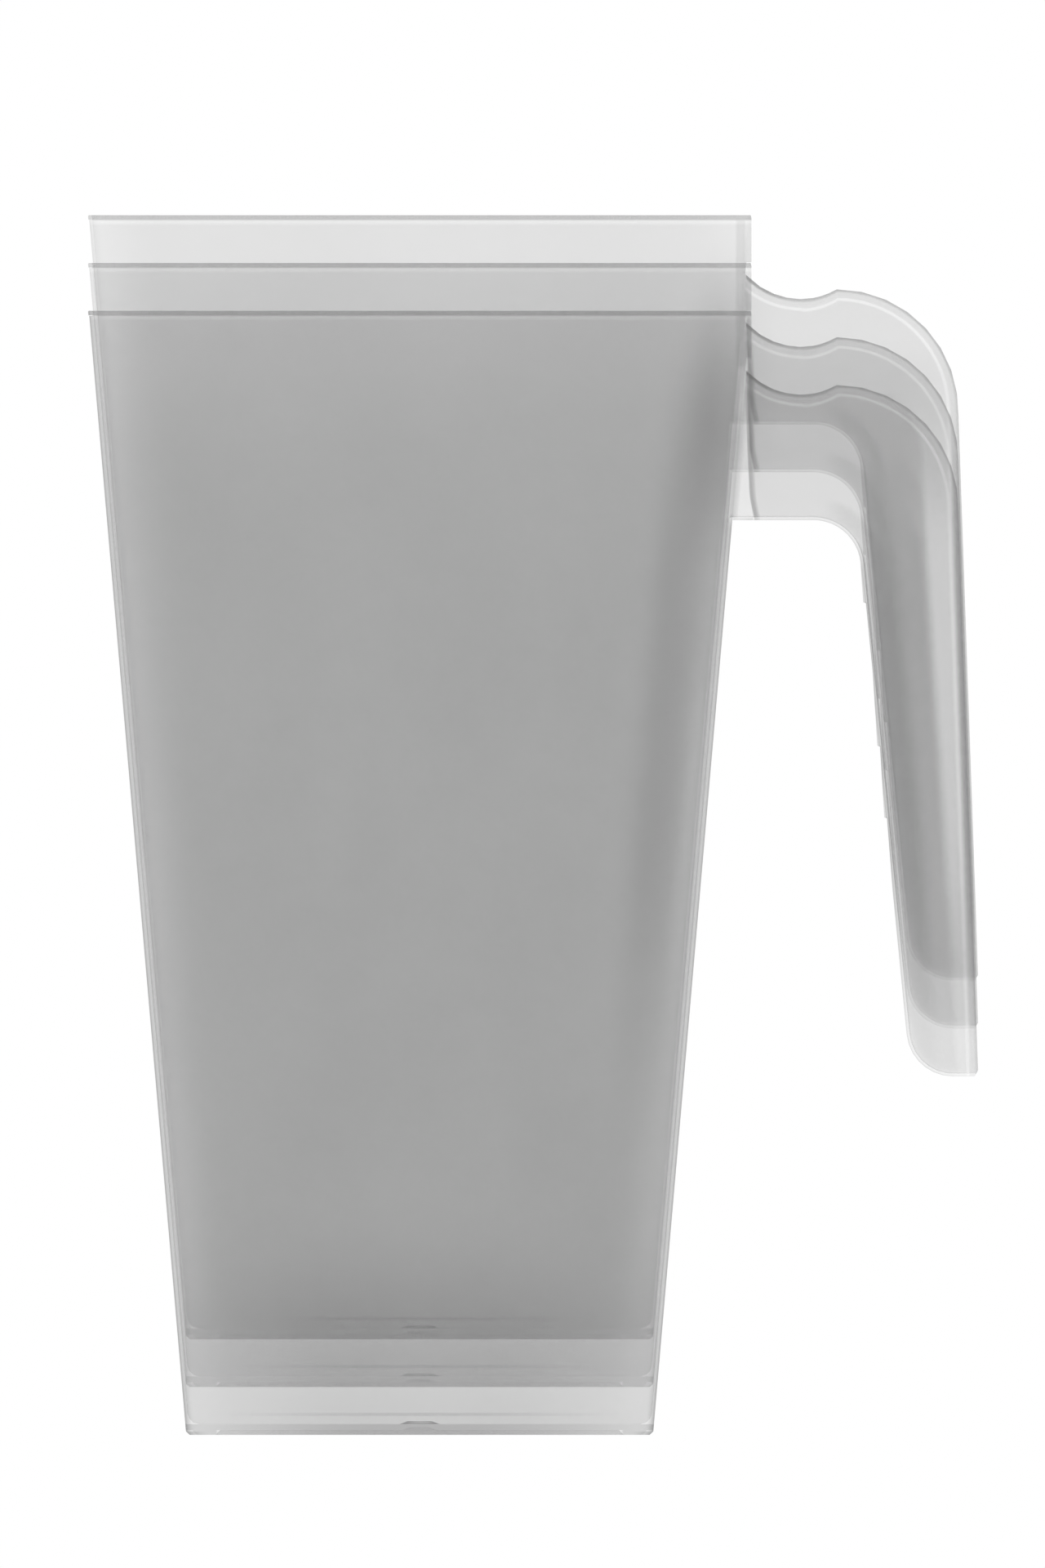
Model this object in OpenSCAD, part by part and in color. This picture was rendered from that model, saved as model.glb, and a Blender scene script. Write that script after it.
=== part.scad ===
// Three square beer pitchers, alike and nested in a stack.
// Each is one thin moulding whose hook handle is an open channel that starts at a mouth in the wall,
// so that bodies nest in bodies and handles nest in handles.
// The origin is the middle of the lowest foot. +Z is up and +X points to the handles.

/* [Body] */
// Height of one pitcher, from its foot to its rim
body_height = 230.4; // [210:0.2:260]
// Outside width of the square foot
foot_width = 95.7; // [85:0.1:110]
// Corner radius of the square plan at the foot
foot_corner = 12; // [8:0.5:16]
// Corner radius of the square plan at the rim
rim_corner = 16; // [12:0.5:22]
// Wall thickness, measured level
wall = 0.6; // [0.5:0.05:0.8]
// How far the rim bead stands out from the wall
bead_out = 0.15; // [0.1:0.05:0.4]
// Height of the rim bead
bead_height = 0.9; // [0.6:0.1:1.5]

/* [Floor] */
// Top of the floor inside, above the table
floor_top = 2.2; // [1.8:0.1:3]
// Depth of the hollow under the floor
foot_recess = 1; // [0.5:0.1:1.2]
// Width of the ring that the pitcher stands on
foot_ring = 6; // [4:0.5:10]
// Height of the rounding between floor and wall inside
floor_round = 2.2; // [1:0.1:4]
// Diameter of the moulding dimple in the middle of the floor
dimple_diameter = 7.6; // [5:0.2:12]
// Rise of the moulding dimple
dimple_rise = 0.7; // [0.3:0.1:1]

/* [Stack] */
// Rise from one pitcher to the next
stack_step = 9.8; // [9:0.1:12]
// Space between nested bodies, measured level
body_gap = 0.25; // [0.15:0.05:0.5]
// Space between the nested steps at the handle's root, measured level
jog_gap = 0.1; // [0.06:0.02:0.2]
// Space between nested channels, measured level
channel_gap = 0.14; // [0.1:0.02:0.2]
// Space between a stop and the rim that it stands on
seat_gap = 0.1; // [0.06:0.02:0.2]
// Width of each stop beside the mouth
stop_width = 2; // [1:0.1:4]

/* [Handle] */
// Depth of the arm's underside below the rim
arm_depth = 42.9; // [38:0.1:48]
// Reach from the rim to the middle of the finger bend
bend_reach = 12.9; // [10:0.1:16]
// Radius of the finger bend under the arm
bend_radius = 9.7; // [7:0.1:12]
// Depth of the handle's lower end below the rim
handle_depth = 156.9; // [140:0.1:170]
// Radius of the handle's rounded lower end
end_radius = 9.5; // [8:0.5:13]
// Width of the channel at the top of its sides
handle_width = 37; // [34:0.5:44]
// How far the channel's sides step in beside the body
jog = 0.35; // [0.25:0.05:0.6]
// Wall thickness through that step, measured along the arm
jog_wall = 0.36; // [0.3:0.02:0.6]
// Rounding between the finger side and the channel's sides
side_round = 4.5; // [3:0.1:5.5]

/* [Lip] */
// Reach of the dip in the lip
dip_reach = 10.5; // [8:0.1:13]
// Depth of the dip below the rim
dip_depth = 17.2; // [16:0.1:20]
// Radius of the dip on the side of the rim
dip_radius = 15.6; // [15:0.2:22]
// Reach of the crest, where the round shoulder starts
crest_reach = 17.7; // [15:0.1:22]
// Depth of the crest below the rim
crest_depth = 15.2; // [13:0.1:18]
// Radius of the round shoulder
shoulder_radius = 24.9; // [22:0.1:28]
// Slope of the outer edge, sideways over down
edge_slope = 0.035; // [0.02:0.001:0.05]
// Width of the stepped band along the lip
lip_band = 2; // [1.5:0.1:3]
// How far the band steps out from the channel's sides
lip_step = 0.7; // [0.4:0.05:0.8]
// Width of the bead on the lip's edge
lip_bead = 0.35; // [0.2:0.05:0.5]

/* [Finger pads] */
// Depth of the uppermost pad's ledge below the rim
pad_depth = 59.7; // [58:0.1:62]
// Distance from one ledge to the next
pad_pitch = 14.7; // [12:0.1:16]
// How far a ledge stands out
pad_out = 0.22; // [0.1:0.02:0.3]
// How far the grip is cut back under a ledge
pad_cut = 0.3; // [0:0.02:0.35]

/* [Hidden] */
frosted = [0.86, 0.86, 0.86, 0.6];

// Slopes, sideways over down, that carry each nested wall past the one below
body_draft = (wall + body_gap) / stack_step;
jog_slope = (jog_wall + jog_gap) / stack_step;
side_slope = (wall + channel_gap) / stack_step;
grip_slope = (wall + channel_gap + pad_out) / stack_step;

foot_half = foot_width / 2;
rim_half = foot_half + body_draft * body_height;
corner_steps = 10;
foot_edge = 0.7;
rim_edge = 0.15;
dimple_sink = 0.1;

// The root: where the lip meets the body's wall, and the slot above it, which clears the next pitcher's lip
lip_depth = lip_over(jog_slope * dip_depth);
root_lip = lip_over(-wall / 2 - body_draft * lip_depth);
root_reach = -body_draft * root_lip;
mouth_margin = 0.1;
mouth_cut = 3;
stop_margin = 0.05;
stop_out = bead_out + stop_margin;
stop_top = bead_height / 2;

// The grip line and the round end, seen from the side
grip_angle = atan(grip_slope);
bend_depth = arm_depth + bend_radius;
grip_reach = bend_reach + bend_radius * cos(grip_angle);
grip_depth = bend_depth - bend_radius * sin(grip_angle);
end_depth = handle_depth - end_radius;
end_reach = grip_line(end_depth) + end_radius / cos(grip_angle);
shoulder_depth = crest_depth + shoulder_radius;
edge_angle = atan(edge_slope);
pads = 4;
pad_fade = 15;
ledge = 0.25;
end_rise = 1.2;
lip_end = handle_depth - end_rise;
lip_gather = 1.3;
foot_inset = 0.7;
lip_bead_out = 0.7 * channel_gap;
slot_half = half_width(root_lip) + lip_step + lip_bead_out + channel_gap;
step_rise = 0.4;
step_shift = 0.28;
round_steps = 3;

// Shares of a short section that its band, bead, rounding and skin may take at most
band_share = 0.35;
bead_share = 0.1;
round_share = 0.4;
skin_share = 0.3;
bead_foot = 1.3;
step_fade = 6;

// Reach of the finger side at a depth below the rim
function grip_line(depth) = grip_reach + grip_slope * (depth - grip_depth);

// Reach of the lip's outer edge at a depth below the rim
function edge_line(depth) =
    crest_reach + shoulder_radius * cos(edge_angle)
    + edge_slope * (depth - shoulder_depth + shoulder_radius * sin(edge_angle));

// Half width of the channel at a depth below the rim
function half_width(depth) = handle_width / 2 - side_slope * (depth - lip_depth);

// Depth of the lip over the arm
function lip_over(reach) = reach < dip_reach
    ? dip_depth - dip_radius + sqrt(dip_radius * dip_radius - pow(dip_reach - reach, 2))
    : dip_depth - (dip_depth - crest_depth) * pow((reach - dip_reach) / (crest_reach - dip_reach), 2);

// How far the finger side stands out at a depth below the rim, pads and cuts included
function pad_at(depth) = let (turn = (depth - pad_depth) / pad_pitch)
    turn > pads - 1
        ? -pad_cut * max(0, 1 - (depth - pad_depth - (pads - 1) * pad_pitch) / pad_fade)
        : turn <= 0
            ? pad_out * max(0, 1 + turn * pad_pitch / (pad_depth - grip_depth))
            : pad_out - (pad_out + pad_cut) * (ceil(turn) - turn);

// Distance from a point along a heading to the lip's shoulder, or to its straight edge below
function to_lip(at, heading) = let (
        off = at - [crest_reach, shoulder_depth],
        b = off * heading,
        reach = -b + sqrt(b * b - off * off + shoulder_radius * shoulder_radius),
        hit = at + reach * heading,
        slack = edge_line(at[1]) - at[0]
    )
    hit[1] < shoulder_depth - shoulder_radius * sin(edge_angle)
        ? reach
        : slack / (heading[0] - edge_slope * heading[1]);

// A station of the handle: a point on the finger side, the heading from it to the lip, the distance,
// the share of the wall that the heading takes, how far the pad stands out,
// and how far the sides step in, outside and inside. Points are [reach from the rim, depth below the rim].
function station(at, heading, long, lean = 1, pad = 0, jogs = [0, 0]) = [at, heading, long, lean, pad, jogs];

// A station that leans: it starts at a reach on the underside of the arm and ends at a depth on the lip
function leaning(reach, slope, lip, jogs) = let (long = sqrt(1 + slope * slope))
    station([reach, arm_depth], [-slope, -1] / long, (arm_depth - lip) * long, 1, 0, jogs);

// Stations at the root: in the middle of the body's wall, then where the outside and the inside step out
jog_start = root_reach + jog_slope * (arm_depth - root_lip);
jog_outside = 0.1;
root_stations = [
    leaning(-wall / 2 - body_draft * arm_depth, -body_draft, root_lip, [jog, jog]),
    leaning(jog_start, jog_slope, lip_over(root_reach), [jog, jog]),
    leaning(jog_start + jog_outside, jog_slope, lip_over(root_reach + jog_outside), [0, jog]),
    leaning(jog_start + jog_wall, jog_slope, lip_over(root_reach + jog_wall), [0, 0])
];

arm_start = jog_start + jog_wall;
arm_inset = 2 * wall;
arm_steps = 4;
arm_stations = [for (i = [0:arm_steps]) let (
        reach = arm_start + arm_inset + (bend_reach - arm_start - arm_inset) * i / arm_steps
    ) station([reach, arm_depth], [0, -1], arm_depth - lip_over(reach))];

// Stations round the start of the bend, up to the crest
turn_steps = 3;
turn_stations = [for (i = [1:turn_steps - 1]) let (
        reach = bend_reach + (crest_reach - bend_reach) * i / turn_steps,
        line = [reach, lip_over(reach)] - [bend_reach, bend_depth],
        heading = line / norm(line)
    ) station([bend_reach, bend_depth] + bend_radius * heading, heading, norm(line) - bend_radius)];

crest_angle = atan2(bend_depth - crest_depth, crest_reach - bend_reach);
bend_steps = 10;
bend_stations = [for (i = [0:bend_steps]) let (
        angle = crest_angle + (grip_angle - crest_angle) * i / bend_steps,
        heading = [cos(angle), -sin(angle)],
        at = [bend_reach, bend_depth] + bend_radius * heading
    ) station(at, heading, to_lip(at, heading))];

grip_heading = [cos(grip_angle), -sin(grip_angle)];
ledges = [for (i = [0:pads - 1], under = [0, ledge]) pad_depth + i * pad_pitch + under];
grip_end = end_depth + end_radius * sin(-grip_angle);
pads_end = ledges[2 * pads - 1] + pad_fade;
grip_depths = concat(ledges, [pads_end, (pads_end + grip_end) / 2]);
grip_stations = [for (depth = grip_depths) let (at = [grip_line(depth), depth])
    station(at, grip_heading, to_lip(at, grip_heading), 1, pad_at(depth))];

end_steps = 7;
end_stations = [for (i = [0:end_steps]) let (
        angle = 180 - grip_angle + (-90 + grip_angle) * i / end_steps,
        inward = [-cos(angle), -sin(angle)],
        at = [end_reach, end_depth] - end_radius * inward,
        lip = grip_end + (lip_end - end_rise - grip_end) * pow(i / end_steps, lip_gather),
        line = [edge_line(lip), lip] - at
    ) station(at, line / norm(line), norm(line), line * inward / norm(line))];

foot_steps = 2;
foot_stations = [for (i = [1:foot_steps]) let (
        at = [end_reach + (edge_line(handle_depth) - foot_inset - end_reach) * i / foot_steps, handle_depth],
        lip = lip_end - end_rise * (1 - i / foot_steps),
        line = [edge_line(lip), lip] - at
    ) station(at, line / norm(line), norm(line), -line[1] / norm(line))];

stations = concat(
    root_stations, arm_stations, turn_stations, bend_stations, grip_stations, end_stations, foot_stations);

// One side of a section through the channel, from the lip to the finger side: [distance, width beside the wall]
function half_section(s, inside) = let (
        band = min(lip_band, band_share * s[2]),
        out = lip_step * min(1, s[2] / step_fade),
        bead = min(lip_bead, bead_share * s[2]),
        edge = inside ? 0 : lip_bead_out,
        skin = inside ? wall / s[3] : 0,
        turn = min(side_round, round_share * s[2]) - (inside ? min(wall, skin_share * s[2]) : 0),
        shift = inside ? step_shift * band / lip_band : 0,
        side = inside ? -wall - s[5][1] : -s[5][0]
    ) concat(
        [
            [s[2], side + out + edge],
            [s[2] - bead, side + out + edge],
            [s[2] - bead_foot * bead, side + out],
            [s[2] - band + step_rise * band / lip_band + shift, side + out],
            [s[2] - band + shift, side]
        ],
        [for (k = [0:round_steps]) let (angle = 90 * k / round_steps)
            [skin + turn * (1 - sin(angle)), side - turn * (1 - cos(angle))]]
    );

// A point of a section in space, on the side given by its sign
function section_point(s, p, sign, inside) = let (
        pad = inside ? 0 : s[4] * max(0, 1 - p[0] / side_round),
        at = s[0] + (p[0] - pad) * s[1]
    ) [rim_half + at[0], sign * (half_width(at[1]) + p[1]), body_height - at[1]];

// A whole section, from the lip on the -Y side round the finger side to the lip on the +Y side
function section(s, inside) = let (half = half_section(s, inside), last = len(half) - 1) concat(
    [for (p = half) section_point(s, p, -1, inside)],
    [for (k = [last:-1:0]) section_point(s, half[k], 1, inside)]
);

// Two triangles that cover a patch with four corners
function patch(a, b, c, d) = [[a, b, c], [a, c, d]];

// A ring of the body: a rounded square at a height, grown by a margin
function ring(z, grow) = let (
        half = foot_half + body_draft * z,
        corner = foot_corner + (rim_corner - foot_corner) * z / body_height,
        round = max(1, corner + grow),
        centre = half + grow - round
    ) [for (side = [0:3], k = [0:corner_steps]) let (
            angle = 90 * (side + k / corner_steps),
            across = centre * cos(90 * side),
            along = centre * sin(90 * side)
        ) [across - along + round * cos(angle), along + across + round * sin(angle), z]];

// A ring's points moved to another height
function at_height(points, z) = [for (p = points) [p[0], p[1], z]];

// The body's wall as one skin: under the floor, up the outside, over the bead and down the inside
module body_shell() {
    floor_steps = 3;
    rings = concat(
        [
            at_height(ring(0, -foot_ring - foot_recess), foot_recess),
            ring(0, -foot_ring),
            ring(0, -foot_edge),
            ring(foot_edge, 0),
            ring(body_height - bead_height - rim_edge, 0),
            ring(body_height - bead_height, bead_out),
            ring(body_height - rim_edge, bead_out),
            at_height(ring(body_height - rim_edge, bead_out - rim_edge), body_height),
            ring(body_height, -wall)
        ],
        [for (k = [0:floor_steps]) let (angle = 90 * k / floor_steps)
            ring(floor_top + floor_round * (1 - sin(angle)), -wall - floor_round * (1 - cos(angle)))]
    );
    count = len(rings[0]);
    last = len(rings) - 1;
    polyhedron(
        points = [for (r = rings) each r],
        faces = concat(
            [[for (i = [0:count - 1]) i]],
            [[for (i = [count - 1:-1:0]) last * count + i]],
            [for (j = [0:last - 1], i = [0:count - 1]) let (next = (i + 1) % count)
                each patch(j * count + i, (j + 1) * count + i, (j + 1) * count + next, j * count + next)]
        )
    );
}

// The moulding dimple: a low dome in the floor, hollow below
module dimple(grow) {
    cylinder(h = dimple_rise, d1 = dimple_diameter + 2 * grow, d2 = dimple_diameter / 2 + 2 * grow, $fn = 40);
}

// The hook handle: a channel open above and outside, which starts in the body's wall
module handle() {
    sections = len(stations);
    count = len(section(stations[0], false));
    top = count - 1;
    in0 = sections * count;
    end = (sections - 1) * count;
    polyhedron(
        points = concat(
            [for (s = stations) each section(s, false)],
            [for (s = stations) each section(s, true)]
        ),
        faces = concat(
            // Outside and inside of the channel
            [for (i = [0:sections - 2], k = [0:top - 1]) let (a = i * count + k)
                each patch(a, a + count, a + count + 1, a + 1)],
            [for (i = [0:sections - 2], k = [0:top - 1]) let (a = in0 + i * count + k)
                each patch(a, a + 1, a + count + 1, a + count)],
            // The lips
            [for (i = [0:sections - 2]) let (o = i * count, n = in0 + o)
                each patch(n, n + count, o + count, o)],
            [for (i = [0:sections - 2]) let (o = i * count + top, n = in0 + o)
                each patch(o, o + count, n + count, n)],
            // The start in the wall and the lower end
            [for (k = [0:top - 1]) each patch(k, k + 1, in0 + k + 1, in0 + k)],
            [for (k = [0:top - 1]) let (o = end + k, n = in0 + o) each patch(o, n, n + 1, o + 1)]
        )
    );
}

// The space cut from the body's wall: the channel's mouth, and the slot above it up to the rim
module mouth() {
    profile = [for (p = section(stations[0], true)) p + mouth_margin * [0, sign(p[1]), -1]];
    count = len(profile);
    polyhedron(
        points = concat(
            [for (p = profile) p - [mouth_cut, 0, 0]],
            [for (p = profile) p + [mouth_cut, 0, 0]]
        ),
        faces = concat(
            [[for (k = [0:count - 1]) k]],
            [[for (k = [count - 1:-1:0]) count + k]],
            [for (k = [0:count - 1]) let (next = (k + 1) % count)
                each patch(k, count + k, count + next, next)]
        )
    );
    translate([rim_half + root_reach - mouth_cut, -slot_half, body_height - root_lip - 2 * mouth_margin])
        cube([2 * mouth_cut, 2 * slot_half, root_lip + 4 * mouth_margin]);
}

// Two stops beside the mouth, which stand on the rim of the pitcher below
module stops() {
    foot = stack_step - seat_gap;
    for (side = [-1, 1])
        translate([rim_half, side * (slot_half + stop_width / 2), body_height])
            rotate([90, 0, 0])
                linear_extrude(stop_width, center = true)
                    polygon([
                        [-wall / 2, -stop_top],
                        [-wall / 2 - body_draft * foot, -foot],
                        [stop_out, -foot],
                        [stop_out, -stop_top]
                    ]);
}

// One whole pitcher, standing on the origin
module pitcher() {
    difference() {
        union() {
            difference() {
                body_shell();
                mouth();
            }
            handle();
            stops();
            translate([0, 0, floor_top - dimple_sink]) dimple(wall);
        }
        translate([0, 0, foot_recess - dimple_sink]) dimple(0);
    }
}

module bottom_pitcher() {
    color(frosted) pitcher();
}

module middle_pitcher() {
    color(frosted) translate([0, 0, stack_step]) pitcher();
}

module top_pitcher() {
    color(frosted) translate([0, 0, 2 * stack_step]) pitcher();
}

bottom_pitcher();
middle_pitcher();
top_pitcher();
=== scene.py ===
"""Three nested beer pitchers in frosted polypropylene, dressed for a plain studio picture."""
import math

import bpy
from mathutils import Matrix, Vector


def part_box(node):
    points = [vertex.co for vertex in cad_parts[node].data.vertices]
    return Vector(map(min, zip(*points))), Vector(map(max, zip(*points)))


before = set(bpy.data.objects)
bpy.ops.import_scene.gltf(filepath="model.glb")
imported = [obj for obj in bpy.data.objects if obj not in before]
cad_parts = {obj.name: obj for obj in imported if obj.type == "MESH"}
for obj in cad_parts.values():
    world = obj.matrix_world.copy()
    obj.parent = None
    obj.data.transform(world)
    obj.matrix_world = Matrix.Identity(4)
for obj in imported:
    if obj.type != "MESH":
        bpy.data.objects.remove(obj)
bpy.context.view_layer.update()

# Sizes of one pitcher in millimetres, as in the CAD source
BODY_HEIGHT = 230.4
RIM_HALF = 67.833
BODY_DRAFT = 0.0867
FLOOR_TOP = 2.2
FLOOR_BOTTOM = 1.0
FOOT_RING = 6.0
BEND_REACH = 12.9
BEND_DEPTH = 52.6
BEND_RADIUS = 9.7
GRIP_SLOPE = 0.098
DIP_REACH = 10.5
DIP_DEPTH = 17.2
DIP_RADIUS = 15.6
CREST_REACH = 17.7
CREST_DEPTH = 15.2
SHOULDER_DEPTH = 40.1
SHOULDER_RADIUS = 24.9
EDGE_SLOPE = 0.035

# Places of the material's own marks on a pitcher, in millimetres
ROUND_LINE = 4.2
DIMPLE_RADIUS = 4.6
ROOT_DEPTH = 10.5
ROOT_REACH = 0.2
JOG_REACH = -1.53
JOG_SLOPE = 0.0459
LIP_LEAN = 0.93
END_DEPTH = 157.3
END_ROUND = 8.5

# Shares of the light behind a face that it passes, and the share that it scatters
RIM_CLEAR = 0.872
DIMPLE_CLEAR = 0.97
EDGE_CLEAR = 0.88
JOG_CLEAR = 0.825
SHADOW_CLEAR = (0.93, 0.93, 0.93, 1)
SCATTERED = 0.07
PLASTIC = (0.86, 0.86, 0.86, 1)
PLASTIC_IOR = 1.49

# How far the finer lines of an inner pitcher show through the wall in front of it
INNER_SHOWN = 0.3

# Rounding of the sharp edges, in metres, and the angles that count as sharp
EDGE_ROUND = 0.00012
SHARP_EDGE = math.radians(50)
CREASE = math.radians(35)

# The photograph's frame and the studio, in metres and watts
FRAME_HEIGHT = 0.32139
FRAME_CENTRE = (0.02109, 0.0, 0.13341)
CAMERA_DISTANCE = 3.0
FLOOR_SIZE = 1.6
FLOOR_LEVEL = -0.0003
FLOOR_WHITE = 0.9
SOFT_LIGHT = 0.35
LAMP_POWER = 9
WHITE = (1, 1, 1, 1)
PALE = (0.85, 0.85, 0.85, 1)


class Tree:
    """A short way to write a node tree."""

    def __init__(self, tree):
        self.tree = tree
        tree.nodes.clear()

    def add(self, kind, inputs=None, **settings):
        """Adds a node, with its settings, and its inputs as values or as other nodes' outputs."""
        node = self.tree.nodes.new(kind)
        for key, value in settings.items():
            setattr(node, key, value)
        for key, value in (inputs or {}).items():
            if isinstance(value, bpy.types.NodeSocket):
                self.tree.links.new(value, node.inputs[key])
            else:
                node.inputs[key].default_value = value
        return node

    def math(self, operation, first, second=0.0):
        return self.add("ShaderNodeMath", {0: first, 1: second}, operation=operation).outputs[0]

    def total(self, *values):
        """The sum of several numbers."""
        result = values[0]
        for value in values[1:]:
            result = self.math("ADD", result, value)
        return result

    def product(self, *values):
        """Several numbers multiplied."""
        result = values[0]
        for value in values[1:]:
            result = self.math("MULTIPLY", result, value)
        return result

    def minus(self, first, second):
        return self.math("SUBTRACT", first, second)

    def length(self, first, second):
        """The length of two sides at a right angle."""
        return self.math("SQRT", self.total(self.product(first, first), self.product(second, second)))

    def ramp(self, value, low, high, start=0.0, end=1.0):
        """A smooth change from start to end as a value goes from low to high."""
        return self.add(
            "ShaderNodeMapRange",
            {"Value": value, "From Min": low, "From Max": high, "To Min": start, "To Max": end},
            interpolation_type="SMOOTHSTEP",
        ).outputs[0]

    def hill(self, value, low, rise, fall, high, height=1.0):
        """A given height between rise and fall, and nothing before low and after high."""
        return self.product(self.ramp(value, low, rise), self.ramp(value, fall, high, height, 0.0))

    def blend(self, share, first, second):
        """A number between two numbers."""
        return self.add("ShaderNodeMix", {0: share, 2: first, 3: second}, data_type="FLOAT").outputs[0]

    def shader(self, share, first, second):
        return self.add("ShaderNodeMixShader", {0: share, 1: first, 2: second}).outputs[0]

    def vector(self, operation, first, second):
        return self.add("ShaderNodeVectorMath", {0: first, 1: second}, operation=operation).outputs


def bend_distance(t, reach, depth, centre_reach, centre_depth, slope):
    """Distance from a bend's centre, which goes on straight along both of the bend's legs."""
    below = t.math("MAXIMUM", t.minus(depth, centre_depth), 0.0)
    above = t.math("MAXIMUM", t.minus(centre_depth, depth), 0.0)
    across = t.minus(t.minus(reach, centre_reach), t.product(below, slope))
    return t.length(t.math("MAXIMUM", across, 0.0), above)


def body_clearness_and_painted_light(t, x, y, z, depth, reach, shown):
    """What a face of the body passes: more near the rim, less at the foot, with painted shade of the handle
    on the corners beside it and painted light at the far corner and by the handle's root.
    """
    half = t.total(t.product(z, BODY_DRAFT), RIM_HALF - BODY_DRAFT * BODY_HEIGHT)
    edge = t.minus(half, x)
    beside = t.minus(half, t.math("MINIMUM", t.math("ABSOLUTE", x), t.math("ABSOLUTE", y)))

    wall = t.ramp(depth, 4.0, 40.0, 0.947, 0.935)
    # Painted light: the rounded corner away from the handle is a little lighter, as if lit from the side
    painted_far_corner_light = t.ramp(t.total(half, x), 1.0, 9.0, 0.004, 0.0)
    under_rim = t.hill(depth, 0.95, 1.25, 1.4, 2.2, 0.025)
    foot_depth = -0.025 - shown * 0.014
    foot = t.product(t.ramp(z, 2.0, 31.0, 1.0, 0.0), t.ramp(beside, 0.0, 36.0, 0.4, 1.12), foot_depth)
    # Painted shade of the handle: a dark streak along the corners beside it, from below the rim down to the
    # handle's end
    handle_shade_start = t.ramp(depth, 50.0, 110.0, -3.0, 2.0)
    painted_handle_shade = t.hill(edge, handle_shade_start, 6.5, 9.0, 17.0, -0.02)
    painted_handle_shade = t.product(painted_handle_shade, t.hill(depth, 12.0, 40.0, 90.0, 200.0))
    stop = t.product(t.hill(reach, -3.3, -2.6, -1.4, -0.8, -0.03), t.ramp(depth, 12.5, 10.5))
    # Painted shade by the handle's root, at the very edge of the body's corners
    painted_root_shade = t.product(t.ramp(edge, 13.0, 4.0), t.hill(depth, 2.0, 24.0, 38.0, 56.0, -0.036))
    # Painted light where light passes between the body and the handle's root, strong on the outer pitcher
    painted_wedge_light = t.product(t.ramp(edge, 2.0, 0.6), t.hill(depth, 10.0, 13.0, 18.0, 26.0, shown * 0.05 - 0.012))
    clear = t.total(wall, painted_far_corner_light, under_rim, foot, painted_handle_shade, stop, painted_root_shade, painted_wedge_light)

    # The line of the round above the floor
    line = t.hill(z, ROUND_LINE - 0.5, ROUND_LINE - 0.15, ROUND_LINE + 0.15, ROUND_LINE + 0.5, -0.036)
    clear = t.total(clear, t.product(line, t.ramp(beside, 2.0, 46.0, 0.0, 0.5 + shown * 0.5)))

    # Below the floor's top: painted shade under the floor, darkest in the middle of each side. Where it is
    # solid, one face counts for two.
    floor = t.ramp(z, FLOOR_TOP + 0.1, FLOOR_TOP - 0.1)
    slab = t.ramp(z, FLOOR_BOTTOM - 0.05, FLOOR_BOTTOM + 0.05)
    ring = t.ramp(beside, FOOT_RING + 0.7, FOOT_RING)
    solid = t.product(floor, t.math("MAXIMUM", slab, ring))
    clear = t.product(clear, t.blend(solid, 1.0, clear))
    # Painted shade under the floor, strong on the outer pitcher and faint on the inner ones
    floor = t.product(floor, t.ramp(beside, -22.0, 46.0, 0.0, shown * 1.3 - 0.3))
    clear = t.product(clear, t.blend(floor, 1.0, t.blend(solid, 0.915, 0.853)))

    # The moulding dimple in the floor, and the rim
    dimple = t.math("LESS_THAN", t.length(x, y), DIMPLE_RADIUS)
    clear = t.blend(dimple, clear, DIMPLE_CLEAR)
    return t.blend(t.ramp(depth, 1.15, 0.8), clear, RIM_CLEAR)


def lip_distance(t, reach, depth):
    """Distance below the lip, which dips beside the rim, rises to a crest and runs round the shoulder."""
    across = t.minus(reach, DIP_REACH)
    dip = t.minus(t.length(across, t.minus(depth, DIP_DEPTH - DIP_RADIUS)), DIP_RADIUS)
    share = t.math("DIVIDE", across, CREST_REACH - DIP_REACH)
    climb = t.product(share, share, DIP_DEPTH - CREST_DEPTH)
    rise = t.product(t.minus(t.total(depth, climb), DIP_DEPTH), LIP_LEAN)
    turn = bend_distance(t, reach, depth, CREST_REACH, SHOULDER_DEPTH, EDGE_SLOPE)
    lip = t.blend(t.math("GREATER_THAN", across, 0.0), dip, rise)
    return t.blend(t.math("GREATER_THAN", reach, CREST_REACH), lip, t.minus(SHOULDER_RADIUS, turn))


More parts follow.
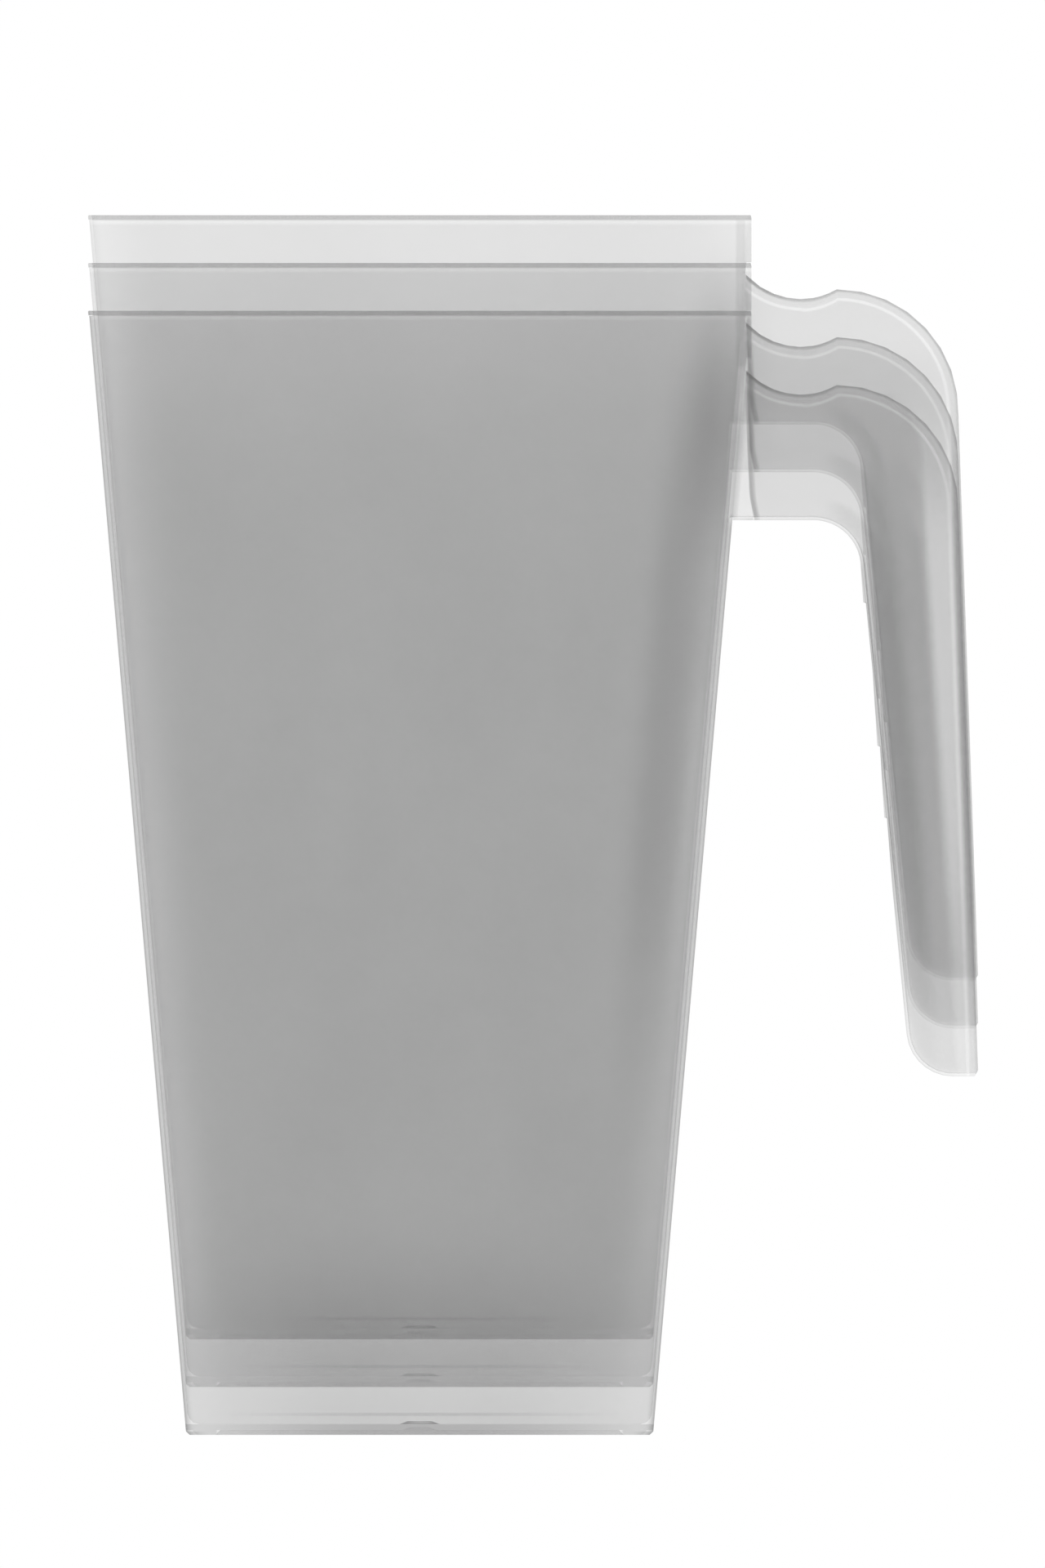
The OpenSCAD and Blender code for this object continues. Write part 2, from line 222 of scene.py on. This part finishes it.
def handle_clearness_and_painted_light(t, reach, depth, shown):
    """What a face of the handle passes: less by the finger side, with painted shade deep in the channel,
    and along the lip; more between them, with painted light near the channel's open side.
    """
    finger = t.minus(bend_distance(t, reach, depth, BEND_REACH, BEND_DEPTH, GRIP_SLOPE), BEND_RADIUS)
    lip = lip_distance(t, reach, depth)
    outer = t.product(t.ramp(reach, 28.0, 36.0), t.ramp(depth, 24.0, 46.0))

    wall = t.ramp(depth, 24.0, 36.0, 0.944, 0.935)
    arm = t.hill(depth, 24.0, 34.0, 40.0, 52.0, shown * 0.006 - 0.006)
    grip = t.total(t.ramp(depth, 46.0, 62.0, 0.0, -0.004), t.ramp(depth, 70.0, 105.0, 0.0, 0.007))
    # Painted shade deep in the channel, a dark band along the finger side
    channel_shade_end = t.ramp(depth, 46.0, 66.0, 5.4, 7.8)
    painted_channel_shade = t.hill(finger, 0.2, 1.8, 3.4, channel_shade_end, -0.026)
    painted_channel_shade = t.product(painted_channel_shade, t.ramp(reach, 14.0, 20.0), t.ramp(depth, 130.0, 152.0, 1.0, 0.45))
    clear = t.total(wall, arm, grip, painted_channel_shade)

    # Painted light on the strip along the outer side, near the channel's open side, and the dark web at the
    # finger side
    painted_strip_light = t.ramp(t.total(finger, t.product(depth, 0.03)), 13.4, 15.2)
    painted_strip_light = t.product(painted_strip_light, outer, t.ramp(depth, 24.0, 54.0))
    clear = t.blend(painted_strip_light, clear, t.ramp(depth, 112.0, 142.0, 0.974, 0.957))
    web = t.product(t.hill(finger, 0.04, 0.2, 0.6, 1.5), t.hill(depth, 46.0, 54.0, 110.0, 150.0))
    clear = t.blend(web, clear, 0.91 - shown * 0.12)

    # The round lower end, which fades out behind another frosted wall
    into = t.math("MAXIMUM", t.minus(END_ROUND, finger), 0.0)
    low = t.math("MAXIMUM", t.minus(depth, END_DEPTH - END_ROUND), 0.0)
    inside = t.minus(END_ROUND, t.length(into, low))
    fade = t.product(t.ramp(inside, 2.4, 0.0), t.ramp(depth, 142.0, 153.0))
    clear = t.blend(fade, clear, 0.985 - shown * 0.018)

    # The bay beside the body, up to the step in the sides, and the step's dark line
    bay = t.total(reach, t.product(depth, BODY_DRAFT))
    bay_edge = t.ramp(depth, 22.0, 30.0, 0.91, 0.975 - shown * 0.07)
    swing = t.ramp(depth, 37.0, 45.0, 0.0, 0.9)
    jog = t.minus(reach, t.total(t.product(depth, JOG_SLOPE), swing, JOG_REACH))
    # Painted shade beside the step near the handle's root
    beside = t.product(t.ramp(jog, 7.0, 1.0, 0.0, -0.008), t.ramp(depth, 40.0, 26.0))
    in_bay = t.math("LESS_THAN", jog, 0.0)
    clear = t.blend(in_bay, t.total(clear, beside), t.ramp(bay, 0.0, 1.5, bay_edge, 0.968))
    line = t.product(t.hill(jog, -0.55, -0.15, 0.05, 1.15), t.ramp(depth, 12.0, 34.0, 0.35, 1.0))
    clear = t.blend(t.product(line, t.ramp(lip, 0.3, 1.5)), clear, JOG_CLEAR)

    # The band along the lip, the painted light line at the step beside it and the dark edge
    band = t.product(t.ramp(lip, 2.0, 1.2), outer)
    clear = t.blend(band, clear, t.ramp(depth, 140.0, 152.0, 0.926, 0.943))
    dark_edge = t.product(t.ramp(lip, 0.8, 0.2), t.ramp(outer, 0.0, 1.0, -0.085, -0.033))
    dark_edge = t.product(dark_edge, t.ramp(reach, 9.0, 2.0, 1.0, 1.7))
    # Painted light: a light line along the lip's step
    painted_step_light = t.hill(lip, 1.6, 1.95, 2.15, 2.6, 0.032 + shown * 0.014)
    return t.total(clear, t.product(painted_step_light, t.ramp(outer, 0.0, 1.0, 1.0, 0.4)), dark_edge)


def slant_loss(t, geometry, place, x, depth, on_handle, shown):
    """What a wall seen at a slant holds back, as glass does: the outside of the body and the handle."""
    turned = t.minus(1.0, t.product(geometry["Backfacing"], 2.0))
    away = t.vector("DOT_PRODUCT", geometry["Normal"], place)["Value"]
    outward = t.math("GREATER_THAN", t.product(away, turned), 0.0)
    slant = t.add("ShaderNodeLayerWeight", {"Blend": 0.5}).outputs["Facing"]
    near_root = t.product(t.math("GREATER_THAN", x, 0.0), t.ramp(depth, 46.0, 40.0))
    most = t.ramp(near_root, 0.0, 1.0, shown * 0.32, shown * 0.07)
    body = t.product(outward, most, t.ramp(slant, 0.45, 1.0))
    handle = t.ramp(t.math("POWER", slant, 4.0), 0.0, 1.0, 0.0, shown * 0.2)
    return t.blend(on_handle, body, handle)


def frosted(name, edge, shown):
    """Frosted translucent polypropylene. Each face passes a share of the light behind it and scatters some.
    Shown is how far its finer lines show: less behind another frosted wall."""
    material = bpy.data.materials.new(name)
    material.use_nodes = True
    t = Tree(material.node_tree)

    # Millimetres in one pitcher's own frame, the same for all three
    low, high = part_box("bottom_pitcher")
    coordinates = t.add("ShaderNodeTexCoord").outputs["Generated"]
    span = t.vector("MULTIPLY", coordinates, (high - low) * 1000)[0]
    place = t.vector("ADD", span, low * 1000)[0]
    x, y, z = t.add("ShaderNodeSeparateXYZ", {0: place}).outputs
    depth = t.minus(BODY_HEIGHT, z)
    reach = t.minus(x, RIM_HALF)
    outside = t.math("GREATER_THAN", t.total(reach, t.product(depth, BODY_DRAFT)), ROOT_REACH)
    on_handle = t.product(outside, t.math("GREATER_THAN", depth, ROOT_DEPTH))

    # Frosting: a fine grain in the surface and broad cloudiness in the wall
    grain = t.add("ShaderNodeTexNoise", {"Vector": place, "Scale": 2.2, "Detail": 2.0}).outputs[0]
    cloud = t.add("ShaderNodeTexNoise", {"Vector": place, "Scale": 0.035, "Detail": 2.0}).outputs[0]
    if edge:
        clear = EDGE_CLEAR
    else:
        # The body's and the handle's tints hold painted light and shade besides the plastic's clearness.
        body = body_clearness_and_painted_light(t, x, y, z, depth, reach, shown)
        clear = t.blend(on_handle, body, handle_clearness_and_painted_light(t, reach, depth, shown))
    clear = t.total(t.ramp(cloud, 0.3, 0.7, -0.003, 0.003), clear)

    geometry = t.add("ShaderNodeNewGeometry").outputs
    loss = slant_loss(t, geometry, place, x, depth, on_handle, shown)
    clear = t.product(clear, t.minus(1.0, loss))
    tint = t.add("ShaderNodeCombineColor", {0: clear, 1: clear, 2: clear}).outputs[0]
    open_wall = t.add("ShaderNodeBsdfTransparent", {"Color": tint}).outputs[0]

    # The scattered light, half from the skin and half through it, on the faces towards the viewer
    bump = t.add("ShaderNodeBump", {"Strength": 0.12, "Distance": 0.0002, "Height": grain}).outputs[0]
    skin = t.add(
        "ShaderNodeBsdfPrincipled",
        {
            "Base Color": PLASTIC,
            "Roughness": t.ramp(grain, 0.3, 0.7, 0.38, 0.55),
            "IOR": PLASTIC_IOR,
            "Normal": bump,
        },
    ).outputs[0]
    glow = t.add("ShaderNodeBsdfTranslucent", {"Color": PLASTIC, "Normal": bump}).outputs[0]
    milk = t.shader(0.5, skin, glow)
    front = t.minus(1.0, geometry["Backfacing"])
    wall = t.shader(t.product(front, SCATTERED), open_wall, milk)

    # The lamps' rays pass plainly, so that the shadow stays soft and pale
    plain = t.add("ShaderNodeBsdfTransparent", {"Color": SHADOW_CLEAR}).outputs[0]
    lamp_ray = t.add("ShaderNodeLightPath").outputs["Is Shadow Ray"]
    t.add("ShaderNodeOutputMaterial", {"Surface": t.shader(lamp_ray, wall, plain)})
    return material


def dress(node, materials):
    """Rounds a CAD node's sharp edges a little, shades it smooth and gives it its materials."""
    mesh = node.data
    mesh.materials.clear()
    for material in materials:
        mesh.materials.append(material)
    mesh.polygons.foreach_set("use_smooth", [True] * len(mesh.polygons))
    weld = node.modifiers.new("weld", "WELD")
    weld.merge_threshold = 1e-6
    bevel = node.modifiers.new("edges", "BEVEL")
    bevel.width = EDGE_ROUND
    bevel.segments = 2
    bevel.limit_method = "ANGLE"
    bevel.angle_limit = SHARP_EDGE
    bevel.material = 1
    split = node.modifiers.new("creases", "EDGE_SPLIT")
    split.split_angle = CREASE


def seen_rays(t):
    """One for rays that show the backdrop to the camera, straight, mirrored or through the walls."""
    path = t.add("ShaderNodeLightPath").outputs
    seen = t.math("MAXIMUM", path["Is Camera Ray"], path["Is Glossy Ray"])
    return t.math("MAXIMUM", seen, path["Is Transmission Ray"])


def make_floor():
    """A pale floor that stays white to the camera apart from the object's soft shadow."""
    bpy.ops.mesh.primitive_plane_add(size=FLOOR_SIZE, location=(0, 0, FLOOR_LEVEL))
    floor = bpy.context.object
    floor.name = "floor"
    material = bpy.data.materials.new("pale_floor")
    material.use_nodes = True
    t = Tree(material.node_tree)
    matt = t.add("ShaderNodeBsdfDiffuse", {"Color": PALE}).outputs[0]
    white = t.add("ShaderNodeEmission", {"Color": WHITE, "Strength": 1.0}).outputs[0]
    surface = t.shader(t.product(seen_rays(t), FLOOR_WHITE), matt, white)
    t.add("ShaderNodeOutputMaterial", {"Surface": surface})
    floor.data.materials.append(material)


def make_world():
    """A white backdrop to the camera, and a plain soft light on the object."""
    world = bpy.data.worlds.new("studio")
    bpy.context.scene.world = world
    world.use_nodes = True
    t = Tree(world.node_tree)
    soft = t.add("ShaderNodeBackground", {"Color": WHITE, "Strength": SOFT_LIGHT}).outputs[0]
    white = t.add("ShaderNodeBackground", {"Color": WHITE, "Strength": 1.0}).outputs[0]
    t.add("ShaderNodeOutputWorld", {"Surface": t.shader(seen_rays(t), soft, white)})


def make_lamp(name, place, aim, size):
    """A square soft lamp aimed at a point."""
    data = bpy.data.lights.new(name, "AREA")
    data.size = size
    data.energy = LAMP_POWER
    lamp = bpy.data.objects.new(name, data)
    bpy.context.scene.collection.objects.link(lamp)
    lamp.location = place
    lamp.rotation_mode = "QUATERNION"
    lamp.rotation_quaternion = (Vector(aim) - Vector(place)).to_track_quat("-Z", "Y")


def make_camera():
    """A level camera without perspective, which sees the pitchers from the side."""
    data = bpy.data.cameras.new("camera")
    data.type = "ORTHO"
    data.ortho_scale = FRAME_HEIGHT
    camera = bpy.data.objects.new("camera", data)
    bpy.context.scene.collection.objects.link(camera)
    camera.location = (FRAME_CENTRE[0], -CAMERA_DISTANCE, FRAME_CENTRE[2])
    camera.rotation_euler = (math.radians(90), 0, 0)
    bpy.context.scene.camera = camera


outer = frosted("frosted_polypropylene", False, 1.0)
inner = frosted("frosted_polypropylene_inner", False, INNER_SHOWN)
edges = frosted("frosted_edges", True, 1.0)
for name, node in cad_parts.items():
    dress(node, [outer if name == "bottom_pitcher" else inner, edges])

make_floor()
make_world()
make_lamp("left_lamp", (-1.1, 0.0, 0.5), (0, 0, 0.13), 0.7)
make_lamp("right_lamp", (1.2, 0.0, 0.5), (0, 0, 0.13), 0.7)
make_lamp("top_lamp", (0.0, 0.1, 1.4), (0, 0, 0.1), 0.9)
make_camera()

scene = bpy.context.scene
scene.view_settings.view_transform = "Standard"
scene.cycles.transparent_max_bounces = 96
scene.cycles.max_bounces = 2
scene.cycles.diffuse_bounces = 0
scene.cycles.glossy_bounces = 1
